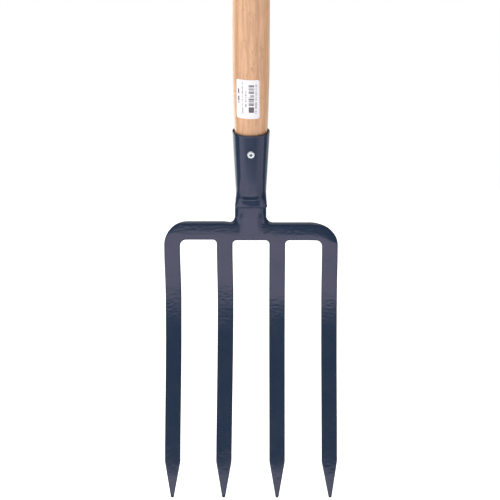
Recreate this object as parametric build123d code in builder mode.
"""Four-tined digging fork with a beech T-handle.

Frame: millimetres, +Z up. The fork stands with its tines upright, the crossbar along X. The origin is
midway between the two middle tine tips, on the ground. The face of the fork looks along -Y, and the
handle leans towards -Y, as the head is cranked.
"""

import os
from math import cos, pi, radians, sin, tan

from build123d import *

# --- Driving dimensions -------------------------------------------------------------------------
# Blade: crossbar, four flat tines, neck and tang, one forging.
TINE_COUNT = 4
TINE_PITCH = 54.0
TINE_WIDTH = 16.1  # at the shoulder
TINE_ROOT_WIDTH = 16.3
TINE_LENGTH = 267.0  # ground to the underside of the crossbar
POINT_LENGTH = 37.5  # the tapered end of a tine
POINT_WIDTH = 3.0
SHOULDER_RADIUS = 12.0
CROSSBAR_HEIGHT = 18.6
OUTER_CORNER_RADIUS = 24.0
WINDOW_RADIUS = 4.2
END_WINDOW_RADIUS = 6.3
NECK_WIDTH = 31.6
NECK_RADIUS = 6.5
EDGE_RADIUS = 1.2

# The blade seen from the side: straight tines, a long bend, then a short one into the neck.
TIP_HALF_THICKNESS = 1.3
SHOULDER_HALF_THICKNESS = 2.7
BEND_HALF_THICKNESS = 3.6
NECK_HALF_THICKNESS = 4.75
LONG_BEND_START = 160.0
LONG_BEND_ANGLE = 8.0
CRANK = 18.0  # the handle's lean from the tines
SHORT_BEND_RADIUS = 120.0
SHORT_BEND_RISE = 18.0  # from the end of the long bend to the short bend's corner
NECK_RISE = 19.1  # from the short bend's corner to the weld
TANG_LENGTH = 9.0
TANG_SIZE = (26.0, 7.4)
TANG_TAPER = 15.0

# Front upper edge of the crossbar, rolled back either side of the neck.
ROLL_RADIUS = 14.0
ROLL_HEIGHT = 8.5

# Socket: rolled from sheet, pressed flat over the tang at its foot, open along a seam at the back.
# Heights are along the handle's axis, from the weld.
SOCKET_LENGTH = 78.0
SOCKET_WALL = 1.9
SOCKET_SETBACK = 8.0  # from the middle of the neck back to the handle's axis
FOOT_HALF_SIZE = (16.3, 6.5)
FOOT_SQUARENESS = 4.0  # exponent of the foot's outline, which is 2 for an ellipse
WAIST_HEIGHT = 16.0
WAIST_RADIUS = 15.65
MOUTH_OUTER_RADIUS = 19.15
LOFT_SECTIONS = 6
OUTLINE_POINTS = 24
SEAM_WIDTH = 1.6
SEAM_START = 10.0
LIP_CHAMFER = 0.6
BEAD_RADIUS = 1.3
BEAD_INSET = 0.9

# Shaft: heights along the handle's axis above the socket's mouth, with the radius there.
SHAFT_FOOT = 22.0  # above the weld
SEAT_END = 60.0  # above the weld, where the shaft leaves the socket's wall
MOUTH_RADIUS = 16.7
SWELL_START = (14.0, 17.4)
SWELL_END = (60.0, 18.7)
FULL_RADIUS = (170.0, 19.0)
TAPER_START = (380.0, 19.0)
SHAFT_TOP_RADIUS = 16.0
SHAFT_FOOT_CHAMFER = 2.0

# Crosspiece of the T-handle. The tenon is glued, wedged and pinned in it.
GRIP_HEIGHT = 772.0  # its axis, above the weld
GRIP_LENGTH = 130.0
GRIP_RADIUS = 18.0
GRIP_END_RADIUS = 15.0
GRIP_ROUNDING = 7.0
TENON_RADIUS = 11.0
WEDGE_DEPTH = 14.0
WEDGE_TOP = 3.2
WEDGE_BOTTOM = 1.0
PIN_RADIUS = 1.9
PIN_LENGTH = 31.0
PIN_HEAD_RADIUS = 3.4
PIN_HEAD_HEIGHT = 1.0

# Screw through the socket's front wall.
SCREW_BELOW_MOUTH = 20.0
SCREW_HEAD_RADIUS = 4.1
SCREW_HEAD_HEIGHT = 2.6
SCREW_RADIUS = 2.1
SCREW_LENGTH = 25.0
SCREW_POINT = 4.0
SCREW_SEAT_DEPTH = 0.55
SEAT_CLEARANCE = 0.7
RECESS_WIDTH = 1.1
RECESS_SPAN = 4.6
RECESS_DEPTH = 1.7

# Label: printed paper, wrapped round the shaft above the socket.
LABEL_START = 17.9  # above the socket's mouth
LABEL_LENGTH = 41.0
LABEL_ANGLE = 81.0
LABEL_TURN = -12.4  # its middle, round from the front
LABEL_THICKNESS = 0.15
LABEL_CORNER = 2.0

FIT = 0.05  # clearance where wood is glued or driven in
REACH = 200.0  # longer than any piece, for cuts that go right through

os.makedirs("parts", exist_ok=True)


# --- Side profile of the blade and the handle's axis ----------------------------------------------
def along(lean, length):
    """(y, z) of a step of that length, leaning forward by that many degrees from upright."""
    return (-length * sin(radians(lean)), length * cos(radians(lean)))


def offset_point(point, lean, distance):
    """A point of the side profile moved back, square to the lean. A negative distance is forward."""
    return (
        point[0] + distance * cos(radians(lean)),
        point[1] + distance * sin(radians(lean)),
    )


def step(point, lean, length):
    dy, dz = along(lean, length)
    return (point[0] + dy, point[1] + dz)


# Radius of the long bend, from the height it has to climb to the underside of the crossbar.
long_bend_radius = (TINE_LENGTH - LONG_BEND_START) / sin(radians(LONG_BEND_ANGLE))
long_bend_tangent = long_bend_radius * tan(radians(LONG_BEND_ANGLE / 2))

ground = (0.0, 0.0)
shoulder = (0.0, POINT_LENGTH)
long_bend = (0.0, LONG_BEND_START + long_bend_tangent)
short_bend = step(long_bend, LONG_BEND_ANGLE, long_bend_tangent + SHORT_BEND_RISE)
neck_end = step(short_bend, CRANK, NECK_RISE)

# Corners of the side profile: point, lean of the normal there, half thickness, fillet radius.
profile_corners = [
    (ground, 0.0, TIP_HALF_THICKNESS, None),
    (shoulder, 0.0, SHOULDER_HALF_THICKNESS, 300.0),
    (long_bend, LONG_BEND_ANGLE / 2, BEND_HALF_THICKNESS, long_bend_radius),
    (short_bend, (LONG_BEND_ANGLE + CRANK) / 2, NECK_HALF_THICKNESS, SHORT_BEND_RADIUS),
    (step(neck_end, CRANK, NECK_WIDTH), CRANK, NECK_HALF_THICKNESS, None),
]
profile_radii = [corner[3] for corner in profile_corners if corner[3]]


def profile_side(sign):
    """The front (-1) or back (+1) line of the blade's side profile, ground to top."""
    return [
        offset_point(point, lean, sign * half)
        for point, lean, half, _ in profile_corners
    ]


# Plane across the neck at the weld, and the plane across the handle's axis beside it. Their z runs up
# the handle, their x along the crossbar and their y backwards.
neck_plane = Plane(
    origin=(0, *neck_end),
    x_dir=(1, 0, 0),
    z_dir=(0, -sin(radians(CRANK)), cos(radians(CRANK))),
)
axis_base = offset_point(neck_end, CRANK, SOCKET_SETBACK)
handle = Plane(origin=(0, *axis_base), x_dir=neck_plane.x_dir, z_dir=neck_plane.z_dir)
handle_axis = Axis(handle.origin, handle.z_dir)


# The plane of turned profiles: its x is the radius, its y the height along the handle.
turning_plane = Plane(origin=handle.origin, x_dir=handle.x_dir, z_dir=-handle.y_dir)


def forward_plane(height, distance=0.0):
    """A plane facing forward, square to the handle, at a height and a distance in front of its axis."""
    centre = handle.from_local_coords((0, -distance, height))
    return Plane(origin=centre, x_dir=handle.x_dir, z_dir=-handle.y_dir)


def fixing_plane(height, distance):
    """The turning plane of a screw or pin: its x is the radius, its y points forward along it."""
    centre = handle.from_local_coords((0, -distance, height))
    return Plane(origin=centre, x_dir=handle.x_dir, z_dir=-handle.z_dir)


def forward_axis(height):
    return Axis(handle.from_local_coords((0, 0, height)), -handle.y_dir)


# --- fork_blade -----------------------------------------------------------------------------------
crossbar_top = TINE_LENGTH + CROSSBAR_HEIGHT
neck_top = neck_end[1] + NECK_WIDTH / 2  # cut back to the weld below
tine_centres = [(i - (TINE_COUNT - 1) / 2) * TINE_PITCH for i in range(TINE_COUNT)]
outer_window_edge = max(tine_centres) - TINE_WIDTH / 2

# The rolled edge starts on the front face and turns back on an arc that is tangent to it.
long_bend_end = step(long_bend, LONG_BEND_ANGLE, long_bend_tangent)
roll_low = offset_point(
    step(long_bend_end, LONG_BEND_ANGLE, CROSSBAR_HEIGHT - ROLL_HEIGHT),
    LONG_BEND_ANGLE,
    -NECK_HALF_THICKNESS,
)
roll_centre = offset_point(roll_low, LONG_BEND_ANGLE, ROLL_RADIUS)


def roll_point(height):
    drop = (ROLL_RADIUS**2 - (height - roll_centre[1]) ** 2) ** 0.5
    return (roll_centre[0] - drop, height)


def corners_at(sketch, height, accept=lambda x: True):
    """The sketch's corners at a height, as seen from the front, whose x is accepted."""
    return [
        v for v in sketch.vertices() if abs(v.Y - height) < 0.01 and accept(abs(v.X))
    ]


def outline_of(faces):
    """The edges round a patch of faces: those that belong to only one of them."""
    edges = [edge for face in faces for edge in face.edges()]
    return [edge for edge in edges if edges.count(edge) == 1]


with BuildPart() as fork_blade:
    # Seen from the front.
    with BuildSketch(Plane.XZ) as face:
        with Locations((0, (TINE_LENGTH + crossbar_top) / 2)):
            Rectangle((TINE_COUNT - 1) * TINE_PITCH, CROSSBAR_HEIGHT)
        with Locations((0, (TINE_LENGTH + neck_top) / 2)):
            Rectangle(NECK_WIDTH, neck_top - TINE_LENGTH)
        with Locations([(x, 0) for x in tine_centres]):
            Polygon(
                (-TINE_ROOT_WIDTH / 2, crossbar_top),
                (-TINE_WIDTH / 2, POINT_LENGTH),
                (-POINT_WIDTH / 2, 0),
                (POINT_WIDTH / 2, 0),
                (TINE_WIDTH / 2, POINT_LENGTH),
                (TINE_ROOT_WIDTH / 2, crossbar_top),
                align=None,
            )
        fillet(corners_at(face, 0), POINT_WIDTH * 0.42)
        fillet(corners_at(face, POINT_LENGTH), SHOULDER_RADIUS)
        fillet(
            corners_at(face, TINE_LENGTH, lambda x: x < outer_window_edge - 1),
            WINDOW_RADIUS,
        )
        fillet(
            corners_at(face, TINE_LENGTH, lambda x: abs(x - outer_window_edge) < 1),
            END_WINDOW_RADIUS,
        )
        fillet(corners_at(face, crossbar_top, lambda x: x < NECK_WIDTH), NECK_RADIUS)
        fillet(
            corners_at(face, crossbar_top, lambda x: x > NECK_WIDTH),
            OUTER_CORNER_RADIUS,
        )
    extrude(amount=REACH, both=True)

    # Seen from the side, kept where both views agree.
    with BuildSketch(Plane.YZ) as side_view:
        with BuildLine():
            front_line = FilletPolyline(*profile_side(-1), radius=profile_radii)
            back_line = FilletPolyline(*profile_side(1), radius=profile_radii)
            Line(front_line @ 0, back_line @ 0)
            Line(front_line @ 1, back_line @ 1)
        make_face()
    extrude(amount=REACH, both=True, mode=Mode.INTERSECT)

    # The neck ends square to itself, at the weld.
    split(bisect_by=neck_plane, keep=Keep.BOTTOM)

    # The crossbar's front upper edge rolls back, either side of the neck.
    with BuildSketch(
        Plane.YZ.offset(NECK_WIDTH / 2 + NECK_RADIUS),
        Plane.YZ.offset(-NECK_WIDTH / 2 - NECK_RADIUS - REACH),
    ):
        with BuildLine():
            roll_high = roll_point(crossbar_top + 1)
            roll_arc = ThreePointArc(
                roll_low, roll_point((roll_low[1] + roll_high[1]) / 2), roll_high
            )
            Polyline(
                roll_high,
                (roll_low[0] - ROLL_RADIUS, roll_high[1]),
                (roll_low[0] - ROLL_RADIUS, roll_low[1]),
                roll_low,
            )
        make_face()
    extrude(amount=REACH, mode=Mode.SUBTRACT)

    # Round the outline, front and back, from the points up to the weld.
    for side in (-1, 1):
        flats = fork_blade.faces().filter_by(lambda f: f.normal_at().Y * side > 0.8)
        fillet(outline_of(flats), EDGE_RADIUS)

    # The tang fills the socket's foot.
    with BuildSketch(neck_plane):
        RectangleRounded(*TANG_SIZE, radius=2.0)
    extrude(amount=TANG_LENGTH, taper=TANG_TAPER)


# --- socket ---------------------------------------------------------------------------------------
def blend(t):
    """0 to 1, level at both ends."""
    return t * t * (3 - 2 * t)


def socket_radius(height):
    """Outer radius of the socket's round part."""
    t = (height - WAIST_HEIGHT) / (SOCKET_LENGTH - WAIST_HEIGHT)
    return WAIST_RADIUS + t * (MOUTH_OUTER_RADIUS - WAIST_RADIUS)


def socket_outline(height, inset=0.0):
    """Points round the socket at a height, in the plane across the handle."""
    round_part = blend(min(height / WAIST_HEIGHT, 1.0))
    radius = socket_radius(max(height, WAIST_HEIGHT))
    half_x = FOOT_HALF_SIZE[0] + round_part * (radius - FOOT_HALF_SIZE[0]) - inset
    half_y = FOOT_HALF_SIZE[1] + round_part * (radius - FOOT_HALF_SIZE[1]) - inset
    power = 2 / (FOOT_SQUARENESS + round_part * (2 - FOOT_SQUARENESS))
    centre_y = -SOCKET_SETBACK * (1 - round_part)
    points = []
    for i in range(OUTLINE_POINTS):
        angle = 2 * pi * i / OUTLINE_POINTS
        x, y = cos(angle), sin(angle)
        x = half_x * abs(x) ** power * (1 if x > 0 else -1)
        y = half_y * abs(y) ** power * (1 if y > 0 else -1)
        points.append((x, centre_y + y))
    return points


foot_heights = [WAIST_HEIGHT * i / LOFT_SECTIONS for i in range(LOFT_SECTIONS)]
round_step = (SOCKET_LENGTH - WAIST_HEIGHT) / LOFT_SECTIONS
socket_heights = foot_heights + [
    WAIST_HEIGHT + round_step * i for i in range(LOFT_SECTIONS + 1)
]

with BuildPart() as socket_blank:
    for height in socket_heights:
        with BuildSketch(handle.offset(height)):
            with BuildLine():
                Spline(*socket_outline(height), periodic=True)
            make_face()
    loft()

with BuildPart() as socket_bore:
    for height in socket_heights:
        with BuildSketch(handle.offset(height)):
            with BuildLine():
                Spline(*socket_outline(height, SOCKET_WALL), periodic=True)
            make_face()
    loft()

screw_height = SOCKET_LENGTH - SCREW_BELOW_MOUTH
screw_seat = socket_radius(screw_height) - SCREW_SEAT_DEPTH

with BuildPart() as socket:
    add(socket_blank.part)
    add(socket_bore.part, mode=Mode.SUBTRACT)
    mouth_edges = socket.edges().filter_by(
        lambda e: abs(handle.to_local_coords(e.center()).Z - SOCKET_LENGTH) < 0.1
    )
    chamfer(mouth_edges, LIP_CHAMFER)
    # The open seam at the back.
    with BuildSketch(handle.offset(SEAM_START)):
        with Locations((0, REACH / 2)):
            Rectangle(SEAM_WIDTH, REACH)
    extrude(amount=REACH, mode=Mode.SUBTRACT)
    # The screw's hole and the flat its head bears on.
    with BuildSketch(forward_plane(screw_height)):
        Circle(SCREW_RADIUS + FIT)
    extrude(amount=REACH, mode=Mode.SUBTRACT)
    with BuildSketch(forward_plane(screw_height, screw_seat)):
        Circle(SCREW_HEAD_RADIUS + SEAT_CLEARANCE)
    extrude(amount=REACH, mode=Mode.SUBTRACT)

# --- socket_weld ----------------------------------------------------------------------------------
with BuildPart() as socket_weld:
    with BuildLine(handle):
        bead_line = Spline(*socket_outline(0, BEAD_INSET), periodic=True)
    with BuildSketch(Plane(origin=bead_line @ 0, z_dir=bead_line % 0)):
        Circle(BEAD_RADIUS)
    sweep(path=bead_line)
    add(socket_blank.part, mode=Mode.SUBTRACT)
    add(fork_blade.part, mode=Mode.SUBTRACT)

# --- socket_screw ---------------------------------------------------------------------------------
with BuildPart() as socket_screw:
    with BuildSketch(fixing_plane(screw_height, screw_seat)):
        with BuildLine():
            ThreePointArc(
                (0, SCREW_HEAD_HEIGHT),
                (SCREW_HEAD_RADIUS * 0.6, SCREW_HEAD_HEIGHT * 0.86),
                (SCREW_HEAD_RADIUS, SCREW_HEAD_HEIGHT * 0.38),
            )
            Polyline(
                (SCREW_HEAD_RADIUS, SCREW_HEAD_HEIGHT * 0.38),
                (SCREW_HEAD_RADIUS, 0),
                (SCREW_RADIUS, 0),
                (SCREW_RADIUS, SCREW_POINT - SCREW_LENGTH),
                (0, -SCREW_LENGTH),
                (0, SCREW_HEAD_HEIGHT),
            )
        make_face()
    revolve(axis=forward_axis(screw_height))
    with BuildSketch(
        forward_plane(screw_height, screw_seat + SCREW_HEAD_HEIGHT - RECESS_DEPTH)
    ):
        Rectangle(RECESS_SPAN, RECESS_WIDTH)
        Rectangle(RECESS_WIDTH, RECESS_SPAN)
    extrude(amount=REACH, mode=Mode.SUBTRACT)

# --- t_grip, tenon_wedge and grip_pin ---------------------------------------------------------------
grip_plane = forward_plane(GRIP_HEIGHT)  # its x runs along the crosspiece

with BuildPart() as grip_blank:
    with BuildSketch(grip_plane):
        with BuildLine():
            ThreePointArc(
                (-GRIP_LENGTH / 2, GRIP_END_RADIUS),
                (0, GRIP_RADIUS),
                (GRIP_LENGTH / 2, GRIP_END_RADIUS),
            )
            Polyline(
                (-GRIP_LENGTH / 2, GRIP_END_RADIUS),
                (-GRIP_LENGTH / 2, 0),
                (GRIP_LENGTH / 2, 0),
                (GRIP_LENGTH / 2, GRIP_END_RADIUS),
            )
        make_face()
    revolve(axis=Axis(grip_plane.origin, grip_plane.x_dir))
    end_edges = grip_blank.edges().filter_by(GeomType.CIRCLE)
    fillet(end_edges, GRIP_ROUNDING)

with BuildPart() as tenon:
    with BuildSketch(handle.offset(GRIP_HEIGHT)):
        Circle(TENON_RADIUS)
    extrude(amount=2 * GRIP_RADIUS, both=True)
    add(grip_blank.part, mode=Mode.INTERSECT)

with BuildPart() as tenon_wedge:
    with BuildSketch(grip_plane):
        Polygon(
            (-WEDGE_BOTTOM / 2, GRIP_RADIUS - WEDGE_DEPTH),
            (WEDGE_BOTTOM / 2, GRIP_RADIUS - WEDGE_DEPTH),
            (WEDGE_TOP / 2, GRIP_RADIUS + 1),
            (-WEDGE_TOP / 2, GRIP_RADIUS + 1),
            align=None,
        )
    extrude(amount=GRIP_RADIUS, both=True)
    add(tenon.part, mode=Mode.INTERSECT)

with BuildPart() as grip_pin:
    with BuildSketch(fixing_plane(GRIP_HEIGHT, GRIP_RADIUS)):
        with BuildLine():
            Polyline(
                (0, 0),
                (PIN_HEAD_RADIUS, 0),
                (PIN_HEAD_RADIUS, -PIN_HEAD_HEIGHT),
                (PIN_RADIUS, -PIN_HEAD_HEIGHT),
                (PIN_RADIUS, -PIN_LENGTH),
                (0, -PIN_LENGTH),
                close=True,
            )
        make_face()
    revolve(axis=forward_axis(GRIP_HEIGHT))

with BuildPart() as t_grip:
    add(grip_blank.part)
    with BuildSketch(handle.offset(GRIP_HEIGHT)):
        Circle(TENON_RADIUS + FIT)
    extrude(amount=2 * GRIP_RADIUS, both=True, mode=Mode.SUBTRACT)
    add(grip_pin.part, mode=Mode.SUBTRACT)


# --- shaft ----------------------------------------------------------------------------------------
def above_mouth(station):
    """(radius, height above the weld) of a station given as (height above the mouth, radius)."""
    return (station[1], SOCKET_LENGTH + station[0])


foot_radius = socket_radius(SHAFT_FOOT) - SOCKET_WALL - FIT
seat_radius = socket_radius(SEAT_END) - SOCKET_WALL - FIT

with BuildPart() as shaft:
    with BuildSketch(turning_plane):
        Polygon(
            (0, SHAFT_FOOT),
            (foot_radius - SHAFT_FOOT_CHAMFER, SHAFT_FOOT),
            (foot_radius, SHAFT_FOOT + SHAFT_FOOT_CHAMFER),
            (seat_radius, SEAT_END),
            (MOUTH_RADIUS, SOCKET_LENGTH),
            above_mouth(SWELL_START),
            above_mouth(SWELL_END),
            above_mouth(FULL_RADIUS),
            above_mouth(TAPER_START),
            (SHAFT_TOP_RADIUS, GRIP_HEIGHT - GRIP_RADIUS / 4),
            (0, GRIP_HEIGHT - GRIP_RADIUS / 4),
            align=None,
        )
    revolve(axis=handle_axis)
    add(grip_blank.part, mode=Mode.SUBTRACT)
    add(tenon.part)
    add(tenon_wedge.part, mode=Mode.SUBTRACT)
    add(grip_pin.part, mode=Mode.SUBTRACT)
    add(socket_screw.part, mode=Mode.SUBTRACT)

# --- barcode_label --------------------------------------------------------------------------------
def swell_radius(above):
    """Radius of the shaft between the two swell stations."""
    t = (above - SWELL_START[0]) / (SWELL_END[0] - SWELL_START[0])
    return SWELL_START[1] + t * (SWELL_END[1] - SWELL_START[1])


label_turn = radians(LABEL_TURN)
label_middle = LABEL_START + LABEL_LENGTH / 2
label_chord = 2 * swell_radius(label_middle) * sin(radians(LABEL_ANGLE / 2))
label_plane = Plane(
    origin=handle.from_local_coords((0, 0, SOCKET_LENGTH + label_middle)),
    x_dir=handle.x_dir * cos(label_turn) + handle.y_dir * sin(label_turn),
    z_dir=handle.x_dir * sin(label_turn) - handle.y_dir * cos(label_turn),
)

with BuildPart() as barcode_label:
    with BuildSketch(turning_plane):
        low, high = LABEL_START, LABEL_START + LABEL_LENGTH
        inner_low, inner_high = swell_radius(low) + FIT / 2, swell_radius(high) + FIT / 2
        Polygon(
            (inner_low, SOCKET_LENGTH + low),
            (inner_high, SOCKET_LENGTH + high),
            (inner_high + LABEL_THICKNESS, SOCKET_LENGTH + high),
            (inner_low + LABEL_THICKNESS, SOCKET_LENGTH + low),
            align=None,
        )
    revolve(axis=handle_axis)
    # Trimmed to a round-cornered rectangle, as seen square to its middle.
    with BuildSketch(label_plane):
        RectangleRounded(label_chord, LABEL_LENGTH - FIT, radius=LABEL_CORNER)
    extrude(amount=REACH, mode=Mode.INTERSECT)

# --- Export ---------------------------------------------------------------------------------------
pieces = {
    "fork_blade": fork_blade,
    "socket": socket,
    "socket_weld": socket_weld,
    "socket_screw": socket_screw,
    "shaft": shaft,
    "t_grip": t_grip,
    "tenon_wedge": tenon_wedge,
    "grip_pin": grip_pin,
    "barcode_label": barcode_label,
}
for node, piece in pieces.items():
    piece.part.label = node
    export_step(piece.part, f"parts/{node}.step")
    print(node, round(piece.part.volume, 1), piece.part.is_valid, len(piece.solids()))
